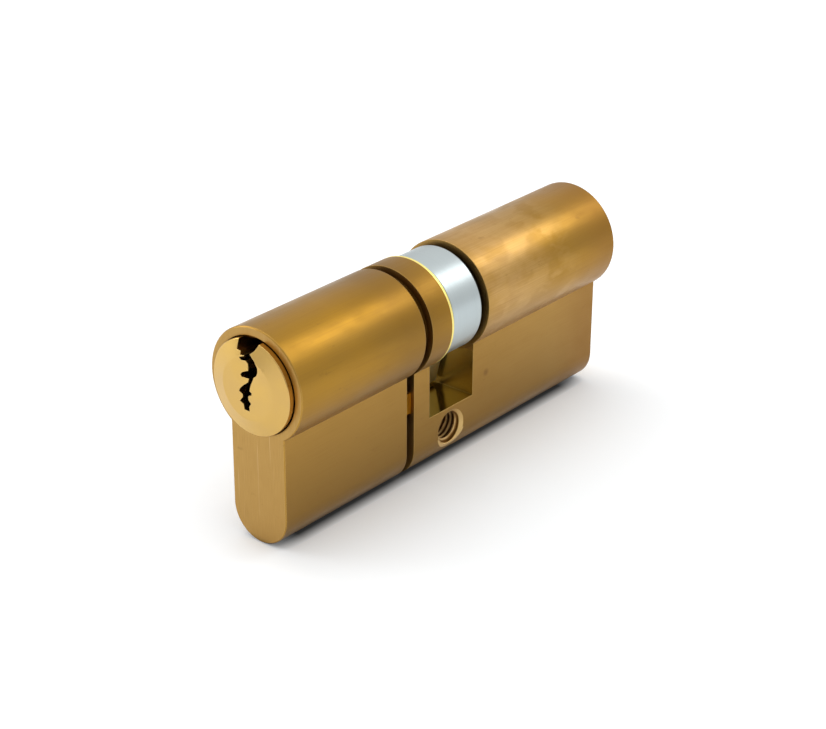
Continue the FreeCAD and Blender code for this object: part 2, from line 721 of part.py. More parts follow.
def make_spring(side, number):
    """A coil spring between a driver pin and its stopper."""
    name = "pin_spring_%s_%d" % (side, number + 1)
    low = STOPPER_TOP + " + spring_clearance + spring_wire / 2"
    high = DRIVER_TOP + " - driver_length - spring_clearance - spring_wire / 2"
    helix = doc.addObject("Part::Helix", name + "_helix")
    bind(helix, "Radius", "pin_radius - spring_clearance - spring_wire / 2")
    bind(helix, "Height", "(%s) - (%s)" % (high, low))
    bind(helix, "Pitch", "((%s) - (%s)) / spring_turns" % (high, low))
    wire = doc.addObject("Part::RegularPolygon", name + "_wire")
    wire.Polygon = 4
    bind(wire, "Circumradius", "spring_wire / 2")
    bind(wire, "Placement.Base.x", "pin_radius - spring_clearance - spring_wire / 2")
    wire.Placement.Rotation = FreeCAD.Rotation(VEC(1, 0, 0), 90)
    spring = doc.addObject("Part::Sweep", name)
    spring.Label = name
    spring.Sections = [wire]
    spring.Spine = (helix, [])
    spring.Solid = True
    spring.Frenet = True
    bind(spring, "Placement.Base.y", side_place(side, pin_place(number)))
    bind(spring, "Placement.Base.z", "axis_height + " + low)
    return spring


def make_stopper(side, number):
    """The plug pressed into a chamber's mouth, flush with the body's round foot."""
    name = "stopper_%s_%d" % (side, number + 1)
    pin = doc.addObject("Part::Cylinder", name + "_blank")
    bind(pin, "Radius", CHAMBER)
    bind(pin, "Height", "stopper_length + %g" % OVERCUT)
    bind(pin, "Placement.Base.y", side_place(side, pin_place(number)))
    bind(pin, "Placement.Base.z", "axis_height + %s - %g" % (BODY_FOOT, OVERCUT))
    foot = doc.addObject("Part::Cylinder", name + "_foot")
    bind(foot, "Radius", "body_width / 2")
    bind(foot, "Height", "4 * pin_radius")
    foot.Placement.Rotation = FreeCAD.Rotation(VEC(1, 0, 0), -90)
    bind(foot, "Placement.Base.y", side_place(side, pin_place(number)) + " - 2 * pin_radius")
    bind(foot, "Placement.Base.z", "axis_height + " + ROUND_CENTRE)
    stopper = doc.addObject("Part::Common", name)
    stopper.Label = name
    stopper.Base = pin
    stopper.Tool = foot
    return stopper


def make_guard(name, side, x, foot, length):
    """A hardened pin pressed into a drilled hole, against a drill."""
    guard = doc.addObject("Part::Cylinder", name)
    guard.Label = name
    bind(guard, "Radius", "guard_radius")
    bind(guard, "Height", length)
    bind(guard, "Placement.Base.x", x)
    bind(guard, "Placement.Base.y", side_place(side, "guard_inset"))
    bind(guard, "Placement.Base.z", "axis_height + (%s)" % foot)
    return guard


def make_guards(side):
    """Two hardened pins in a plug and two in the housing, beside the key slot."""
    signs = {"front": ("-", ""), "rear": ("", "-")}[side]
    pieces = []
    for hand, sign in zip(("left", "right"), signs):
        in_plug = "plug_guard_%s_%s" % (side, hand)
        in_housing = "housing_guard_%s_%s" % (side, hand)
        post_foot = "-post_top - post_length"
        pieces.append(make_guard(in_plug, side, sign + "guard_side", "-guard_floor", "guard_length"))
        pieces.append(make_guard(in_housing, side, sign + "post_side", post_foot, "post_length"))
    return pieces


def make_pieces():
    """Every separate piece of the cylinder."""
    pieces = [make_housing(), make_cam(), make_coupler()]
    for side in SIDES:
        pieces += [make_plug(side), make_clip(side)]
        pieces += make_guards(side)
        for number in pin_numbers(side):
            pieces.append(make_key_pin(side, number))
            pieces.append(make_driver(side, number))
            pieces.append(make_spring(side, number))
            pieces.append(make_stopper(side, number))
    doc.recompute()
    return pieces


def check_document(pieces):
    """Stops if an object failed to compute or a piece has no valid solid."""
    failed = [item.Name for item in doc.Objects if {"Invalid", "Error"} & set(item.State)]
    if failed:
        raise RuntimeError("not computed: " + ", ".join(failed))
    for piece in pieces:
        if piece.Shape.isNull() or not piece.Shape.isValid() or not piece.Shape.Solids:
            raise RuntimeError("no valid solid: " + piece.Label)


PIECES = make_pieces()
check_document(PIECES)
os.makedirs("parts", exist_ok=True)
for piece in PIECES:
    piece.Shape.exportStep("parts/%s.step" % piece.Label)
    print("%-24s %10.3f mm3  %d solid" % (piece.Label, piece.Shape.Volume, len(piece.Shape.Solids)))
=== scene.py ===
"""Looks of the double-entry lock cylinder: satin brass, a bright steel cam, a plain white studio.

Lengths are metres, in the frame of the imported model: the barrel runs along Y, Z is up, and the origin is
the centre of the fixing hole.
"""

import json
import math

import bmesh
import bpy
from mathutils import Matrix, Vector


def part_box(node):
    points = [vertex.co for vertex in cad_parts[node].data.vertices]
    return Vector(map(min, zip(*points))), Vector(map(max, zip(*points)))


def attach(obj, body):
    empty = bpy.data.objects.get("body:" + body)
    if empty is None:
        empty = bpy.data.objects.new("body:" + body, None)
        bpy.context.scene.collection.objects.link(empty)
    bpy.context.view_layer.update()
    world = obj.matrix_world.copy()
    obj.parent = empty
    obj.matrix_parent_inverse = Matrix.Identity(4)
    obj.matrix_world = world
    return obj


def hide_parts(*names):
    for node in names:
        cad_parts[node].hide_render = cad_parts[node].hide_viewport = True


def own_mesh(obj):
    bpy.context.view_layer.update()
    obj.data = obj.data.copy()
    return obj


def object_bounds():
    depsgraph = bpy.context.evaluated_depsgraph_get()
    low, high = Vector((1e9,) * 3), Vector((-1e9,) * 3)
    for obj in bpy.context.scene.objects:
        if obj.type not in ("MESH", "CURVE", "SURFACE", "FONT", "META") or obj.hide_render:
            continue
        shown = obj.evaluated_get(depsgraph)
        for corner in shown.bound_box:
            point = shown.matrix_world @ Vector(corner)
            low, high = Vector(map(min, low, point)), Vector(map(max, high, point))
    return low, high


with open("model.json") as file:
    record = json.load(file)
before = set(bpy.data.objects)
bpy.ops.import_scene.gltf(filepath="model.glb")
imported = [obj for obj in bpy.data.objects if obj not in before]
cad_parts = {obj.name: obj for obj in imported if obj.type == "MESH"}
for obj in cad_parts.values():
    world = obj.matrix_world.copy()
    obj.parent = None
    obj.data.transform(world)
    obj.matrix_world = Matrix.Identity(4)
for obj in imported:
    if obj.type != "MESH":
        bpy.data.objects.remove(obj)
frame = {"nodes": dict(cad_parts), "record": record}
CAD_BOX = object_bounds()


def linear(red, green, blue):
    """A display colour, 0 to 255 a channel, as the linear colour that shaders take (the sRGB curve)."""
    parts = []
    for part in (red, green, blue):
        part /= 255.0
        parts.append(part / 12.92 if part <= 0.04045 else ((part + 0.055) / 1.055) ** 2.4)
    return (*parts, 1.0)


MM = 0.001
BODY_SIDE = 5.0 * MM

# Points on the axes of the barrel and of the fixing hole, and what counts of an offset from each axis.
BARREL_AXIS = (0.0, 0.0, 19.0 * MM)
ACROSS_BARREL = (1.0, 0.0, 1.0)
SCREW_AXIS = (0.0, 0.0, 0.0)
ACROSS_SCREW = (0.0, 1.0, 1.0)

# The opening in the body below the cam, with walls that were milled bright.
WINDOW_LOW = Vector((-4.96, -5.4, 3.2)) * MM
WINDOW_HIGH = Vector((4.96, 5.4, 10.9)) * MM

# The web left standing in the snap line, and the rim at the front of the cam's gap, which carries a painted
# highlight.
WEB_LOW = Vector((-4.4, -10.3, 5.4)) * MM
WEB_HIGH = Vector((4.4, -8.5, 8.95)) * MM
RIM_LOW = Vector((-9.0, -4.3, 9.0)) * MM
RIM_HIGH = Vector((9.0, -3.55, 28.0)) * MM
RIM_RADIUS = 8.1 * MM

# The thread in the fixing hole, between its countersinks. Its ridge has a broad base and a narrow crest.
SCREW_RADIUS = 2.5 * MM
THREAD_PITCH = 0.8 * MM
THREAD_BASE_HALF = THREAD_PITCH * 7 / 16
THREAD_CREST_HALF = THREAD_PITCH / 8
THREAD_DEPTH = 0.43 * MM
THREAD_REACH = 4.45 * MM
THREAD_SINK = 0.03 * MM
THREAD_STEPS = 40
THREAD_FADE_STEPS = THREAD_STEPS / 4
HALF_STEP = 0.5
SINK_RADIUS = 3.2 * MM
SINK_MARGIN = 0.02 * MM

# The coils below the drivers.
COIL_WIRE = 0.16 * MM
COIL_TURNS = 6
COIL_STEPS = 24
COIL_SIDES = 8

# Sockets of the node that mixes colours, and how finely grooves and edges are felt out.
MIX_FIRST = 6
MIX_SECOND = 7
MIX_RESULT = 2
OPENNESS_SAMPLES = 8
BEVEL_SAMPLES = 6

# A ramp holds two values of a factor and, where they aren't 0 and 1, what the two become.
FACING = (0.6, 0.95)
EDGE_LEAN = (0.01, 0.15)
EDGE_OPEN = (0.8, 0.97)

# Colours of the housing's brass.
BAR_BRASS = linear(174, 129, 38)
CLOUDED_BRASS = linear(162, 123, 50)
FLANK_BRASS = linear(168, 129, 61)
# Painted shade for the flanks near the foot.
FOOT_SHADE = linear(88, 68, 38)
HAZED_BRASS = linear(104, 78, 44)
RUBBED_BRASS = linear(214, 176, 122)
BURNISHED_BRASS = linear(216, 176, 112)
REAR_BRASS = linear(140, 94, 34)
GROUND_BRASS = linear(184, 146, 82)
SCRATCHED_BRASS = linear(222, 190, 138)
STREAKED_BRASS = linear(146, 106, 50)
SPOTTED_BRASS = linear(112, 78, 40)
STAINED_BRASS = linear(96, 62, 34)
EDGE_BRASS = linear(226, 188, 118)
MILLED_BRASS = linear(208, 178, 100)
WEB_BRASS = linear(184, 134, 36)
# A painted highlight for the rim of the cam's gap.
RIM_HIGHLIGHT = linear(255, 236, 140)
SINK_BRASS = linear(216, 182, 120)
# Painted shade for the grooves and corners.
GROOVE_SHADE = linear(50, 29, 9)

# Grain of the housing, as noise cells a metre along X, Y and Z, and the seeds of the noise.
DRAWN_GRAIN = (9000.0, 90.0, 9000.0)
FINE_GRAIN, FINE_SEED = (26000.0, 500.0, 26000.0), 4.0
UPRIGHT_GRAIN, UPRIGHT_SEED = (12000.0, 3000.0, 350.0), 2.0
SCRATCH_GRAIN, SCRATCH_SEED, SCRATCH_DETAIL = (4200.0, 4200.0, 70.0), 6.0, 1.0
CLOUD_GRAIN, CLOUD_SEED = (110.0, 45.0, 110.0), 7.0
SMUDGE_GRAIN, SMUDGE_SEED, SMUDGE_DETAIL = (420.0, 260.0, 420.0), 12.0, 5.0
SPOT_GRAIN, SPOT_SEED = (900.0, 600.0, 900.0), 9.0
BLOTCH_GRAIN, BLOTCH_SEED = (330.0, 190.0, 330.0), 21.0

# The flat flanks of the body, with painted shade darker towards the foot, and the places along the barrel
# where it is hazed, rubbed pale or burnished in blotches.
FOOT = -5.5 * MM
FLANK_TOP = 12.2 * MM
HAZE_PLACE = -11.0 * MM
RUBBED_PLACE = 9.0 * MM
BURNISH_PLACE = 15.0 * MM

# A small stain on the right side, behind the opening.
STAIN_PLACE = Vector((5.0, 8.3, 6.2)) * MM
STAIN_RADIUS = 0.8 * MM

# Where the housing's colours are laid: how far a groove shades, how round an edge is, ramps and shares.
GROOVE_REACH = 2.2 * MM
EDGE_RADIUS = 0.12 * MM
CLOUD_TONE = (0.35, 0.65)
FOOT_SHADE_TONE = (FOOT, FLANK_TOP, 0.6, 0.0)
HAZE_TONE = (3 * MM, 13 * MM, 0.42, 0.0)
RUB_TONE = (3 * MM, 13 * MM, 0.5, 0.0)
RUB_SMUDGE = (0.35, 0.6, 0.5, 1.0)
BURNISH_REACH = (7 * MM, 13 * MM, 1.0, 0.0)
BLOTCH_TONE = (0.47, 0.56)
BURNISH_SHARE = 0.2
REAR_TONE = (25 * MM, 34 * MM, 0.0, 0.45)
SCRATCH_TONE = (0.66, 0.74, 0.0, 0.5)
STREAK_TONE = (0.3, 0.7, 0.0, 0.3)
SPOT_TONE = (0.66, 0.8, 0.0, 0.35)
STAIN_TONE = (0.3 * STAIN_RADIUS, STAIN_RADIUS, 0.4, 0.0)
GROOVE_TONE = (0.28, 0.72, 0.96, 0.0)
EDGE_SHARE = 0.6
# How much of the painted groove shade the opening is spared.
WINDOW_SHADE_LIFT = 0.45

# Roughness and relief of the housing.
GRAIN_ROUGH = (0.25, 0.75, 0.30, 0.40)
MIDDLE_ROUGH = (8 * MM, 18 * MM, 0.08, 0.0)
REAR_ROUGH = (26 * MM, 34 * MM, 0.0, 0.06)
SMUDGE_ROUGH = (0.4, 0.7, -0.02, 0.06)
EDGE_POLISH = 0.12
BURNISH_POLISH = 0.05
WALL_ROUGH = 0.26
LEDGE_ROUGH = 0.13
WINDOW_SMOOTH = 0.9
GRAIN_RELIEF = 1.2e-6
FINE_RELIEF = 0.6e-6

# The plugs: turned and polished brass, with painted shade in the keyway.
PLUG_BRASS = linear(214, 175, 95)
PLUG_CLOUDED = linear(205, 168, 100)
PLUG_RINGED = linear(190, 148, 84)
PLUG_SPECKED = linear(150, 108, 56)
PLUG_EDGE = linear(244, 214, 150)
PLUG_SHADE = linear(20, 9, 3)
PLUG_REACH = 2.0 * MM
PLUG_EDGE_RADIUS = 0.1 * MM
PLUG_RINGS = (16000.0, 1.0, 1.0)
PLUG_CLOUD, PLUG_CLOUD_SEED = (180.0, 180.0, 180.0), 3.0
PLUG_SPECKS, PLUG_SPECKS_SEED = (1500.0, 1500.0, 1500.0), 5.0
PLUG_RING_TONE = (0.35, 0.65, 0.0, 0.2)
PLUG_SPECK_TONE = (0.68, 0.8, 0.0, 0.4)
PLUG_SHADE_TONE = (0.12, 0.5, 0.96, 0.0)
PLUG_ROUGH = (0.3, 0.7, 0.17, 0.27)
PLUG_RELIEF = 0.7e-6

# Steels by slot: display colour, roughness, and the share of that colour in the darker rings. The
# roughness of a steel runs from a low share of its value to a high one over the rings.
STEELS = {
    "cam_steel": ((188, 197, 198), 0.34, 0.93),
    "clip_steel": ((120, 120, 122), 0.3, 0.85),
    "coupler_steel": ((150, 150, 152), 0.35, 0.85),
    "driver_steel": ((176, 178, 180), 0.25, 0.85),
    "spring_steel": ((170, 172, 174), 0.22, 0.85),
    "guard_steel": ((98, 99, 102), 0.3, 0.85),
}
# Painted shade for the corners of the steels.
STEEL_SHADE = linear(40, 34, 28)
STEEL_REACH = 0.8 * MM
STEEL_EDGE_RADIUS = 0.1 * MM
STEEL_RINGS = (60.0, 14000.0, 60.0)
STEEL_CLOUD, STEEL_CLOUD_SEED = (250.0, 250.0, 250.0), 5.0
STEEL_RING_TONE = (0.3, 0.7, 0.0, 0.6)
STEEL_CLOUD_TONE = (0.4, 0.7, 0.0, 0.35)
STEEL_SHADE_TONE = (0.3, 0.8, 0.7, 0.0)
STEEL_ROUGH_LOW = 0.8
STEEL_ROUGH_HIGH = 1.25
STEEL_RELIEF = 0.6e-6
RING_RANGE = (0.3, 0.7)

# The small inner pieces of turned brass.
PIN_BRASS = linear(206, 164, 94)
PIN_RINGED = linear(176, 132, 68)
PIN_RINGS = (60.0, 60.0, 12000.0)
PIN_RING_TONE = (0.3, 0.7, 0.0, 0.6)
PIN_ROUGH = (0.3, 0.7, 0.22, 0.34)
PIN_RELIEF = 0.8e-6
PIN_EDGE_RADIUS = 0.08 * MM

# The tapped brass of the fixing thread.
CREST_BRASS = linear(212, 176, 118)
CREST_CLOUDED = linear(190, 152, 96)
# Painted shade for the roots of the thread.
ROOT_SHADE = linear(104, 70, 28)
THREAD_CLOUD, THREAD_CLOUD_SEED = (900.0, 900.0, 900.0), 1.0
ROOT_TONE = (SCREW_RADIUS - THREAD_DEPTH * 0.85, SCREW_RADIUS - THREAD_DEPTH * 0.3)
THREAD_ROUGH = (0.3, 0.7, 0.28, 0.4)
THREAD_RELIEF = 6e-6
THREAD_EDGE_RADIUS = 0.05 * MM

# The camera, fitted to the outline of the standard profile.
CAMERA_PLACE = Vector((175.82, -213.12, 141.87)) * MM
CAMERA_YAW = math.radians(39.91)
CAMERA_PITCH = math.radians(25.69)
CAMERA_ROLL = math.radians(0.25)
CAMERA_LENS = 89.44
SENSOR_WIDTH = 36.0
CLIP_START = 0.01
CLIP_END = 20.0

# The floor: its greys for the light it sends back, its look when seen, and a painted contact shadow along
# the right side of the body.
WHITE = (1.0, 1.0, 1.0, 1.0)
BLACK = (0.0, 0.0, 0.0, 1.0)
FLOOR_SIZE = 6.0
FLOOR_DARK = (0.80, 0.80, 0.80, 1.0)
FLOOR_PALE = (0.82, 0.82, 0.82, 1.0)
FLOOR_SPECKLE = (60.0, 60.0, 60.0)
FLOOR_TONE = (0.3, 0.7)
FLOOR_GLOW = 0.08
FLOOR_SEEN = (0.965, 0.985, 1.0, 1.0)
CONTACT_START = (-1.0 * MM, 0.5 * MM)
CONTACT_STOP = (2.4 * MM, 4.8 * MM, 1.0, 0.0)
CONTACT_REACH = (31.0 * MM, 36.5 * MM, 1.0, 0.0)
CONTACT_SHADE = 0.1

# The room: white above, and a little darker at the horizon and towards the front right.
ROOM_LIGHT = 0.82
SKY_LEVEL = (0.0, 0.5, 0.72, 1.0)
DARK_SIDE = (0.64, -0.77, 0.0)
DARK_SIDE_LEVEL = (0.2, 0.9, 1.0, 0.75)

# Soft boxes: direction from the middle of the object, size and radiance.
LAMP_DISTANCE = 0.5
SOFTBOXES = {
    "back_box": ((0.33, 0.69, 0.64), (0.2, 0.2), 2.4),
    "top_strip": ((-0.22, 0.0, 0.98), (0.4, 0.12), 3.4),
    "left_fill": ((-0.8, -0.45, 0.4), (0.25, 0.25), 2.4),
}


class Shader:
    """A node material, built up one node at a time."""

    def __init__(self, name):
        self.material = bpy.data.materials.new(name)
        self.material.use_nodes = True
        self.tree = self.material.node_tree
        self.tree.nodes.clear()
        self.output = self.tree.nodes.new("ShaderNodeOutputMaterial")

    def node(self, kind, inputs=None, **settings):
        """A node with settings, its inputs taken from values or from other nodes' outputs."""
        node = self.tree.nodes.new("ShaderNode" + kind)
        for key, value in settings.items():
            setattr(node, key, value)
        for key, value in (inputs or {}).items():
            self.feed(node.inputs[key], value)
        return node

    def feed(self, socket, value):
        """Sets a socket, or links it if the value is another node's output."""
        if isinstance(value, bpy.types.NodeSocket):
            self.tree.links.new(value, socket)
        else:
            socket.default_value = value

    def show(self, node):
        """Makes a node's shader the surface."""
        self.tree.links.new(node.outputs[0], self.output.inputs["Surface"])

    def math(self, operation, first, second=0.0):
        """A sum of two numbers, or another operation on them."""
        return self.node("Math", {0: first, 1: second}, operation=operation).outputs[0]

    def product(self, *factors):
        """All factors multiplied."""
        result = factors[0]
        for factor in factors[1:]:
            result = self.math("MULTIPLY", result, factor)
        return result

    def inverse(self, factor):
        """1 where the factor is 0, and 0 where it is 1."""
        return self.math("SUBTRACT", 1.0, factor)

    def away(self, value, middle):
        """How far a number is from a middle value, either way."""
        return self.math("ABSOLUTE", self.math("SUBTRACT", value, middle))

    def vector(self, operation, first, second=None):
        """A vector sum; its length, distance or dot product comes out as a number."""
        inputs = {0: first} if second is None else {0: first, 1: second}
        node = self.node("VectorMath", inputs, operation=operation)
        scalar = operation in ("LENGTH", "DISTANCE", "DOT_PRODUCT")
        return node.outputs["Value" if scalar else "Vector"]

    def ramp(self, factor, low, high, start=0.0, end=1.0):
        """Moves a factor from the range low..high to start..end."""
        inputs = {"Value": factor, "From Min": low, "From Max": high, "To Min": start, "To Max": end}
        return self.node("MapRange", inputs, clamp=True).outputs[0]

    def mix(self, factor, first, second):
        """A mix of two colours."""
        inputs = {"Factor": factor, MIX_FIRST: first, MIX_SECOND: second}
        return self.node("Mix", inputs, data_type="RGBA").outputs[MIX_RESULT]

    def place(self):
        """The surface's place in the row frame, riding with its body."""
        return self.node("TexCoord").outputs["Object"]

    def split(self, vector):
        """The three parts of a vector."""
        return self.node("SeparateXYZ", {"Vector": vector}).outputs

    def from_axis(self, place, axis, across):
        """Distance to an axis, from a point on it and what counts of the offset from that point."""
        offset = self.vector("SUBTRACT", place, axis)
        return self.vector("LENGTH", self.vector("MULTIPLY", offset, across))

    def facing(self, axis):
        """1 where the surface looks along an axis of the row frame, either way."""
        normal = self.node("TexCoord").outputs["Normal"]
        return self.ramp(self.math("ABSOLUTE", self.split(normal)[axis]), *FACING)

    def stretched(self, scale, place=None, detail=3.0, seed=0.0):
        """Noise with its grain drawn out, from one scale for each axis of the place."""
        mapping = self.node("Mapping", {"Vector": place or self.place(), "Scale": scale})
        inputs = {"Vector": mapping.outputs[0], "Scale": 1.0, "Detail": detail, "W": seed}
        return self.node("TexNoise", inputs, noise_dimensions="4D").outputs["Fac"]

    def inside(self, low, high):
        """1 inside a box of the row frame, and 0 outside it."""
        parts = self.split(self.place())
        half = (high - low) / 2
        middle = low + half
        limits = [self.math("LESS_THAN", self.away(parts[index], middle[index]), half[index])
                  for index in range(len(half))]
        return self.product(*limits)

    def openness(self, distance):
        """1 on open faces and less in grooves and corners, as far as a distance."""
        return self.node("AmbientOcclusion", {"Distance": distance}, samples=OPENNESS_SAMPLES).outputs["AO"]

    def edge_wear(self, normal, openness):
        """1 on outer edges, from how far the rounded normal leans away from the face."""
        face = self.node("NewGeometry").outputs["Normal"]
        lean = self.inverse(self.vector("DOT_PRODUCT", normal, face))
        return self.product(self.ramp(lean, *EDGE_LEAN), self.ramp(openness, *EDGE_OPEN))

    def edge_normal(self, radius):
        """Normals rounded over sharp edges, as a light deburring leaves them."""
        return self.node("Bevel", {"Radius": radius}, samples=BEVEL_SAMPLES).outputs[0]

    def bump(self, height, distance, normal):
        """Normals with a relief of a given height over them."""
        inputs = {"Height": height, "Distance": distance, "Strength": 1.0, "Normal": normal}
        return self.node("Bump", inputs).outputs[0]

    def metal(self, colour, roughness, normal):
        """The metal itself, as the material's surface."""
        inputs = {"Base Color": colour, "Metallic": 1.0, "Roughness": roughness, "Normal": normal}
        self.show(self.node("BsdfPrincipled", inputs))
        return self.material

    def seen_directly(self):
        """1 for the camera, for reflections and through glass, and 0 for light that the surface sends."""
        path = self.node("LightPath").outputs
        seen = self.math("MAXIMUM", path["Is Camera Ray"], path["Is Glossy Ray"])
        return self.math("MAXIMUM", seen, path["Is Transmission Ray"])


class WorldShader(Shader):
    """The same node helpers for the world."""

    def __init__(self, name):
        world = bpy.data.worlds.new(name)
        world.use_nodes = True
        bpy.context.scene.world = world
        self.tree = world.node_tree
        self.tree.nodes.clear()
        self.output = self.tree.nodes.new("ShaderNodeOutputWorld")


class HousingBrass(Shader):
    """Drawn brass bar: streaks along the barrel, ground end faces, painted shade in the cuts."""

    def __init__(self):
        super().__init__("housing_brass")
        self.spot = self.place()
        self.along = self.split(self.spot)["Y"]
        self.height = self.split(self.spot)["Z"]
        self.open_air = self.openness(GROOVE_REACH)
        self.rounded = self.edge_normal(EDGE_RADIUS)
        self.wear = self.edge_wear(self.rounded, self.open_air)
        self.facing_end = self.facing("Y")
        self.flank = self.product(self.facing("X"), self.math("LESS_THAN", self.height, FLANK_TOP))
        self.barrel = self.inverse(self.flank)
        self.window = self.inside(WINDOW_LOW, WINDOW_HIGH)
        self.web = self.inside(WEB_LOW, WEB_HIGH)
        self.rim = self.find_rim_highlight()
        self.sink = self.find_sink()
        self.grain = self.find_grain()
        self.smudge = self.stretched(SMUDGE_GRAIN, self.spot, detail=SMUDGE_DETAIL, seed=SMUDGE_SEED)
        self.burnished = self.find_burnished()

    def find_rim_highlight(self):
        """1 on the rim of the cam's gap, where the painted highlight lies."""
        from_barrel = self.from_axis(self.spot, BARREL_AXIS, ACROSS_BARREL)
        outer = self.math("GREATER_THAN", from_barrel, RIM_RADIUS)
        return self.product(self.inside(RIM_LOW, RIM_HIGH), outer)

    def find_sink(self):
        """1 in the countersinks of the fixing hole."""
        from_screw = self.from_axis(self.spot, SCREW_AXIS, ACROSS_SCREW)
        from_middle = self.split(self.vector("ABSOLUTE", self.spot))["X"]
        return self.product(self.math("LESS_THAN", from_screw, SINK_RADIUS),
                            self.math("LESS_THAN", from_middle, BODY_SIDE - SINK_MARGIN),
                            self.math("GREATER_THAN", from_screw, SCREW_RADIUS + SINK_MARGIN))

    def find_grain(self):
        """Streaks along the bar, and upright ones on its ground ends."""
        drawn = self.stretched(DRAWN_GRAIN, self.spot)
        upright = self.stretched(UPRIGHT_GRAIN, self.spot, seed=UPRIGHT_SEED)
        return self.mix(self.facing_end, drawn, upright)

    def find_burnished(self):
        """1 in the blotches on the rear barrel that were rubbed smooth."""
        near = self.ramp(self.away(self.along, BURNISH_PLACE), *BURNISH_REACH)
        blotch = self.stretched(BLOTCH_GRAIN, self.spot, seed=BLOTCH_SEED)
        return self.product(near, self.ramp(blotch, *BLOTCH_TONE), self.barrel)

    def bar_colour(self):
        """The bar as it was drawn, with clouds in it, and flanks with painted shade darker towards the
        foot.
        """
        cloud = self.stretched(CLOUD_GRAIN, self.spot, seed=CLOUD_SEED)
        bar = self.mix(self.ramp(cloud, *CLOUD_TONE), BAR_BRASS, CLOUDED_BRASS)
        bar = self.mix(self.flank, bar, FLANK_BRASS)
        # Painted shade on the flanks, darker towards the foot.
        return self.mix(self.product(self.flank, self.ramp(self.height, *FOOT_SHADE_TONE)), bar, FOOT_SHADE)

    def handled_colour(self, bar):
        """The barrel hazed, rubbed pale, burnished and darkened by handling."""
        haze = self.product(self.ramp(self.away(self.along, HAZE_PLACE), *HAZE_TONE), self.barrel)
        bar = self.mix(haze, bar, HAZED_BRASS)
        rubbed = self.product(self.ramp(self.away(self.along, RUBBED_PLACE), *RUB_TONE), self.barrel,
                              self.ramp(self.smudge, *RUB_SMUDGE))
        bar = self.mix(rubbed, bar, RUBBED_BRASS)
        bar = self.mix(self.product(self.burnished, BURNISH_SHARE), bar, BURNISHED_BRASS)
        return self.mix(self.ramp(self.along, *REAR_TONE), bar, REAR_BRASS)

    def ground_colour(self, bar):
        """The ground ends with their scratches, and streaks all over."""
        bar = self.mix(self.facing_end, bar, GROUND_BRASS)
        scratches = self.stretched(SCRATCH_GRAIN, self.spot, detail=SCRATCH_DETAIL, seed=SCRATCH_SEED)
        scratched = self.product(self.ramp(scratches, *SCRATCH_TONE), self.facing_end)
        bar = self.mix(scratched, bar, SCRATCHED_BRASS)
        return self.mix(self.ramp(self.grain, *STREAK_TONE), bar, STREAKED_BRASS)

    def marked_colour(self, bar):
        """Small spots, the stain on the right side and bright worn edges."""
        spots = self.stretched(SPOT_GRAIN, self.spot, seed=SPOT_SEED)
        bar = self.mix(self.ramp(spots, *SPOT_TONE), bar, SPOTTED_BRASS)
        from_stain = self.vector("DISTANCE", self.spot, STAIN_PLACE)
        bar = self.mix(self.ramp(from_stain, *STAIN_TONE), bar, STAINED_BRASS)
        return self.mix(self.product(self.wear, EDGE_SHARE), bar, EDGE_BRASS)

    def cut_colour(self, bar):
        """The milled opening, the web, the painted highlight on the rim and the countersinks, and painted
        shade in the grooves.
        """
        bar = self.mix(self.window, bar, MILLED_BRASS)
        bar = self.mix(self.web, bar, WEB_BRASS)
        # A painted highlight on the rim of the cam's gap.
        bar = self.mix(self.rim, bar, RIM_HIGHLIGHT)
        bar = self.mix(self.sink, bar, SINK_BRASS)
        # Painted shade darkens grooves and corners, less in the opening and not at all on the web and
        # countersinks.
        shade_lift = self.math("MAXIMUM", self.product(self.window, WINDOW_SHADE_LIFT),
                          self.math("MAXIMUM", self.web, self.sink))
        groove_shade = self.product(self.ramp(self.open_air, *GROOVE_TONE), self.inverse(shade_lift))
        return self.mix(groove_shade, bar, GROOVE_SHADE)

    def roughness(self):
        """Rough along the grain, duller at the middle and the rear, smooth where worn or milled."""
        dull = self.math("ADD", self.ramp(self.math("ABSOLUTE", self.along), *MIDDLE_ROUGH),
                         self.ramp(self.along, *REAR_ROUGH))
        rough = self.math("ADD", self.ramp(self.grain, *GRAIN_ROUGH), dull)
        rough = self.math("ADD", rough, self.ramp(self.smudge, *SMUDGE_ROUGH))
        rough = self.math("SUBTRACT", rough, self.product(self.wear, EDGE_POLISH))
        rough = self.math("SUBTRACT", rough, self.product(self.burnished, BURNISH_POLISH))
        milled = self.ramp(self.facing("Z"), 0.0, 1.0, WALL_ROUGH, LEDGE_ROUGH)
        return self.ramp(self.window, 0.0, 1.0, rough, milled)

    def relief(self):
        """Normals with the grain in relief, which is faint in the opening."""
        fine = self.stretched(FINE_GRAIN, self.spot, seed=FINE_SEED)
        strength = self.inverse(self.product(self.window, WINDOW_SMOOTH))
        grained = self.bump(self.product(self.grain, strength), GRAIN_RELIEF, self.rounded)
        return self.bump(self.product(fine, strength), FINE_RELIEF, grained)


def make_housing_brass():
    """The housing's material, its colours laid over one another."""
    shader = HousingBrass()
    colour = shader.handled_colour(shader.bar_colour())
    colour = shader.marked_colour(shader.ground_colour(colour))
    return shader.metal(shader.cut_colour(colour), shader.roughness(), shader.relief())


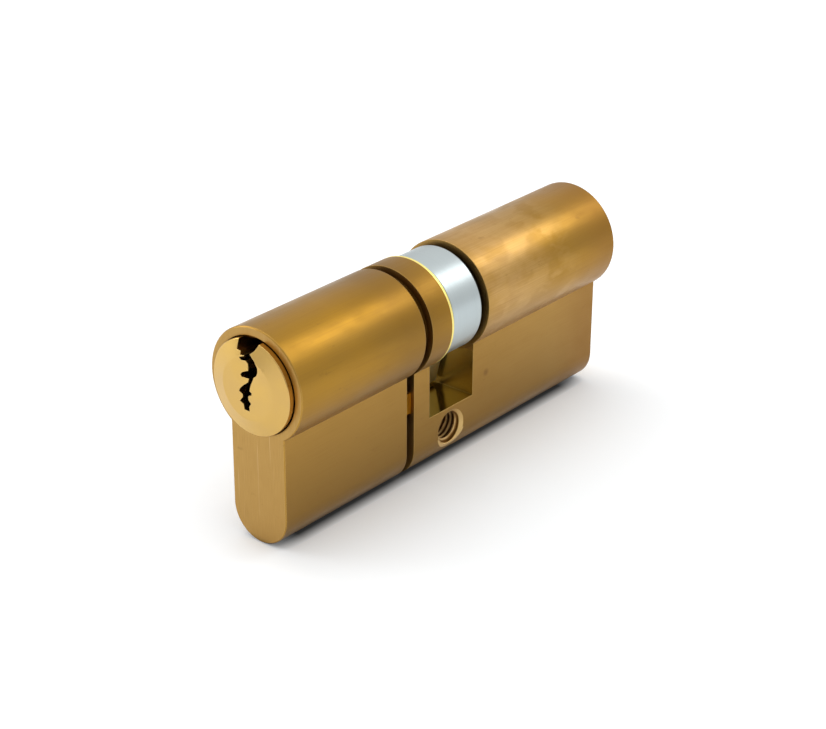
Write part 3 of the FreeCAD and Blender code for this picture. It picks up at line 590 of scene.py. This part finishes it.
def make_plug_brass():
    """Turned and polished brass, with faint rings about the plug's own axis and painted shade in its
    hollows.
    """
    shader = Shader("plug_brass")
    place = shader.place()
    open_air = shader.openness(PLUG_REACH)
    rounded = shader.edge_normal(PLUG_EDGE_RADIUS)
    wear = shader.edge_wear(rounded, open_air)
    radius = shader.from_axis(place, BARREL_AXIS, ACROSS_BARREL)
    turned = shader.stretched(PLUG_RINGS, shader.node("CombineXYZ", {"X": radius}).outputs[0])
    cloud = shader.stretched(PLUG_CLOUD, place, seed=PLUG_CLOUD_SEED)
    specks = shader.stretched(PLUG_SPECKS, place, seed=PLUG_SPECKS_SEED)
    colour = shader.mix(shader.ramp(cloud, *CLOUD_TONE), PLUG_BRASS, PLUG_CLOUDED)
    colour = shader.mix(shader.ramp(turned, *PLUG_RING_TONE), colour, PLUG_RINGED)
    colour = shader.mix(shader.ramp(specks, *PLUG_SPECK_TONE), colour, PLUG_SPECKED)
    colour = shader.mix(shader.product(wear, EDGE_SHARE), colour, PLUG_EDGE)
    # Painted shade in the keyway and other hollows of the plug.
    colour = shader.mix(shader.ramp(open_air, *PLUG_SHADE_TONE), colour, PLUG_SHADE)
    return shader.metal(colour, shader.ramp(turned, *PLUG_ROUGH), shader.bump(turned, PLUG_RELIEF, rounded))


def make_steel(name, display, rough, shade):
    """Turned steel with fine rings along the barrel, and painted shade in its corners."""
    shader = Shader(name)
    place = shader.place()
    open_air = shader.openness(STEEL_REACH)
    rings = shader.stretched(STEEL_RINGS, place)
    cloud = shader.stretched(STEEL_CLOUD, place, seed=STEEL_CLOUD_SEED)
    base = linear(*display)
    dark = (*[part * shade for part in base[:3]], 1.0)
    colour = shader.mix(shader.ramp(rings, *STEEL_RING_TONE), base, dark)
    colour = shader.mix(shader.ramp(cloud, *STEEL_CLOUD_TONE), colour, dark)
    # Painted shade in the steel's corners.
    colour = shader.mix(shader.ramp(open_air, *STEEL_SHADE_TONE), colour, STEEL_SHADE)
    roughness = shader.ramp(rings, *RING_RANGE, rough * STEEL_ROUGH_LOW, rough * STEEL_ROUGH_HIGH)
    relief = shader.bump(rings, STEEL_RELIEF, shader.edge_normal(STEEL_EDGE_RADIUS))
    return shader.metal(colour, roughness, relief)


def make_pin_brass():
    """Turned brass of the small inner pieces."""
    shader = Shader("pin_brass")
    rings = shader.stretched(PIN_RINGS, shader.place())
    colour = shader.mix(shader.ramp(rings, *PIN_RING_TONE), PIN_BRASS, PIN_RINGED)
    relief = shader.bump(rings, PIN_RELIEF, shader.edge_normal(PIN_EDGE_RADIUS))
    return shader.metal(colour, shader.ramp(rings, *PIN_ROUGH), relief)


def make_thread_brass():
    """Tapped brass: bright crests and painted shade in the roots."""
    shader = Shader("thread_brass")
    place = shader.place()
    cloud = shader.stretched(THREAD_CLOUD, place, seed=THREAD_CLOUD_SEED)
    crest = shader.mix(shader.ramp(cloud, *CLOUD_TONE), CREST_BRASS, CREST_CLOUDED)
    depth = shader.ramp(shader.from_axis(place, SCREW_AXIS, ACROSS_SCREW), *ROOT_TONE)
    relief = shader.bump(cloud, THREAD_RELIEF, shader.edge_normal(THREAD_EDGE_RADIUS))
    return shader.metal(shader.mix(depth, crest, ROOT_SHADE), shader.ramp(cloud, *THREAD_ROUGH), relief)


def dress_nodes():
    """Gives every CAD node its material by the slot that the record names."""
    materials = {name: make_steel(name, *look) for name, look in STEELS.items()}
    materials["brass_body"] = make_housing_brass()
    materials["brass_plug"] = make_plug_brass()
    materials["pin_brass"] = make_pin_brass()
    materials["stopper_brass"] = make_pin_brass()
    slots = {part["node"]: part["material_slot"] for part in frame["record"]["subparts"]}
    for name, node in frame["nodes"].items():
        node.data.materials.clear()
        node.data.materials.append(materials[slots[name]])


def skin(mesh, rings):
    """Faces between rings of corners that follow one another, with both ends closed."""
    for one, two in zip(rings, rings[1:]):
        for corner in range(len(one)):
            following = (corner + 1) % len(one)
            mesh.faces.new((one[corner], one[following], two[following], two[corner]))
    mesh.faces.new(rings[0])
    mesh.faces.new(reversed(rings[-1]))
    bmesh.ops.recalc_face_normals(mesh, faces=mesh.faces)


def add_piece(name, mesh, material):
    """A piece that rides on the housing, from a finished mesh."""
    data = bpy.data.meshes.new(name)
    mesh.to_mesh(data)
    mesh.free()
    data.materials.append(material)
    piece = bpy.data.objects.new(name, data)
    bpy.context.scene.collection.objects.link(piece)
    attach(piece, "housing")
    return piece


def make_thread():
    """The ridge of the fixing thread, which winds along X between the countersinks."""
    start = -THREAD_REACH + THREAD_BASE_HALF
    count = int((THREAD_REACH - THREAD_BASE_HALF - start) / THREAD_PITCH * THREAD_STEPS)
    base = SCREW_RADIUS + THREAD_SINK
    mesh = bmesh.new()
    rings = []
    for step in range(count + 1):
        angle = 2 * math.pi * step / THREAD_STEPS
        middle = start + THREAD_PITCH * step / THREAD_STEPS
        # The ridge rises and fades over a quarter turn at its ends.
        rise = min(1.0, (HALF_STEP + min(step, count - step)) / THREAD_FADE_STEPS)
        crest = SCREW_RADIUS - THREAD_DEPTH * rise
        corners = [(-THREAD_BASE_HALF, base), (-THREAD_CREST_HALF, crest),
                   (THREAD_CREST_HALF, crest), (THREAD_BASE_HALF, base)]
        rings.append([mesh.verts.new((middle + along, radius * math.cos(angle), radius * math.sin(angle)))
                      for along, radius in corners])
    skin(mesh, rings)
    add_piece("fixing_thread", mesh, make_thread_brass())


def coil_rings(mesh, low, high):
    """Rings of corners round a wire that winds up a box, from its foot to its top."""
    radius = (high.x - low.x) / 2 - COIL_WIRE
    middle = (low.y + high.y) / 2
    climb = high.z - low.z - 2 * COIL_WIRE
    rings = []
    for step in range(COIL_TURNS * COIL_STEPS + 1):
        angle = 2 * math.pi * step / COIL_STEPS
        centre = low.z + COIL_WIRE + climb * step / (COIL_TURNS * COIL_STEPS)
        ring = []
        for side in range(COIL_SIDES):
            lean = 2 * math.pi * side / COIL_SIDES
            reach = radius + COIL_WIRE * math.cos(lean)
            ring.append(mesh.verts.new((reach * math.cos(angle), middle + reach * math.sin(angle),
                                        centre + COIL_WIRE * math.sin(lean))))
        rings.append(ring)
    return rings


def make_coil(node, material):
    """A coil of round wire in place of a pin's spring."""
    low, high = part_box(node)
    mesh = bmesh.new()
    skin(mesh, coil_rings(mesh, low, high))
    for face in mesh.faces:
        face.smooth = True
    place = node.removeprefix("pin_spring_")
    coil = add_piece("coil_" + place, mesh, material)
    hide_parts(node)
    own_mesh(coil)


def make_coils():
    """A coil for every spring of the model."""
    for name, node in sorted(frame["nodes"].items()):
        if name.startswith("pin_spring_"):
            make_coil(name, node.data.materials[0])


def make_floor_white():
    """White paper that is lit evenly, with a painted contact shadow where it is seen."""
    shader = Shader("floor_white")
    shade = shader.mix(shader.ramp(shader.stretched(FLOOR_SPECKLE), *FLOOR_TONE), FLOOR_DARK, FLOOR_PALE)
    seen = shader.seen_directly()
    parts = shader.split(shader.place())
    # A painted contact shadow in a band beside the right side of the body.
    under = shader.product(shader.ramp(parts["X"], *CONTACT_START), shader.ramp(parts["X"], *CONTACT_STOP),
                           shader.ramp(shader.math("ABSOLUTE", parts["Y"]), *CONTACT_REACH))
    contact = shader.ramp(under, 0.0, 1.0, 1.0, CONTACT_SHADE)
    bright = shader.mix(contact, BLACK, FLOOR_SEEN)
    paper = shader.node("BsdfDiffuse", {"Color": shader.mix(seen, shade, bright)})
    glow = shader.node("Emission", {"Color": WHITE, "Strength": shader.product(seen, contact, FLOOR_GLOW)})
    shader.show(shader.node("AddShader", {0: paper.outputs[0], 1: glow.outputs[0]}))
    return shader.material


def make_floor():
    """A plain white floor that keeps the object's soft shadow."""
    half = FLOOR_SIZE / 2
    low = CAD_BOX[0].z
    mesh = bpy.data.meshes.new("floor")
    corners = [(-half, -half, low), (half, -half, low), (half, half, low), (-half, half, low)]
    mesh.from_pydata(corners, [], [(0, 1, 2, 3)])
    mesh.materials.append(make_floor_white())
    floor = bpy.data.objects.new("floor", mesh)
    bpy.context.scene.collection.objects.link(floor)


def make_world():
    """A soft even room for the light, seen as a pale backdrop that is white above the horizon."""
    shader = WorldShader("studio")
    direction = shader.node("TexCoord").outputs["Generated"]
    sky = shader.ramp(shader.split(direction)["Z"], *SKY_LEVEL)
    dark_side = shader.ramp(shader.vector("DOT_PRODUCT", direction, DARK_SIDE), *DARK_SIDE_LEVEL)
    room = shader.node("Background", {"Color": WHITE, "Strength": ROOM_LIGHT})
    backdrop = shader.node("Background", {"Color": WHITE, "Strength": shader.product(sky, dark_side)})
    shader.show(shader.node("MixShader", {0: shader.seen_directly(), 1: room.outputs[0],
                                          2: backdrop.outputs[0]}))


def add_softbox(name, direction, size, radiance):
    """A rectangular lamp that faces the middle of the object, its first side level along X."""
    light = bpy.data.lights.new(name, "AREA")
    light.shape = "RECTANGLE"
    light.size, light.size_y = size
    light.energy = radiance * math.pi * size[0] * size[1]
    lamp = bpy.data.objects.new(name, light)
    ahead = Vector(direction).normalized()
    place = (CAD_BOX[0] + CAD_BOX[1]) / 2 + ahead * LAMP_DISTANCE
    upright = ahead.cross(Vector((1.0, 0.0, 0.0))).normalized()
    level = upright.cross(ahead)
    turn = Matrix((level, upright, ahead)).transposed()
    lamp.matrix_world = Matrix.Translation(place) @ turn.to_4x4()
    bpy.context.scene.collection.objects.link(lamp)


def make_lights():
    """A box behind, for the line of light on the barrel, a strip above it and a fill at the front left."""
    for name, lamp in SOFTBOXES.items():
        add_softbox(name, *lamp)


def make_camera():
    """The camera at the photograph's place and angle."""
    data = bpy.data.cameras.new("camera")
    data.lens = CAMERA_LENS
    data.sensor_width = SENSOR_WIDTH
    data.clip_start = CLIP_START
    data.clip_end = CLIP_END
    camera = bpy.data.objects.new("camera", data)
    yaw, pitch, roll = CAMERA_YAW, CAMERA_PITCH, CAMERA_ROLL
    ahead = Vector((-math.sin(yaw) * math.cos(pitch), math.cos(yaw) * math.cos(pitch), -math.sin(pitch)))
    level = Vector((math.cos(yaw), math.sin(yaw), 0.0))
    upright = level.cross(ahead)
    right = math.cos(roll) * level + math.sin(roll) * upright
    top = math.cos(roll) * upright - math.sin(roll) * level
    turn = Matrix((right, top, -ahead)).transposed()
    camera.matrix_world = Matrix.Translation(CAMERA_PLACE) @ turn.to_4x4()
    bpy.context.scene.collection.objects.link(camera)
    bpy.context.scene.camera = camera


dress_nodes()
make_thread()
make_coils()
make_floor()
make_world()
make_lights()
make_camera()
bpy.context.scene.view_settings.view_transform = "Standard"
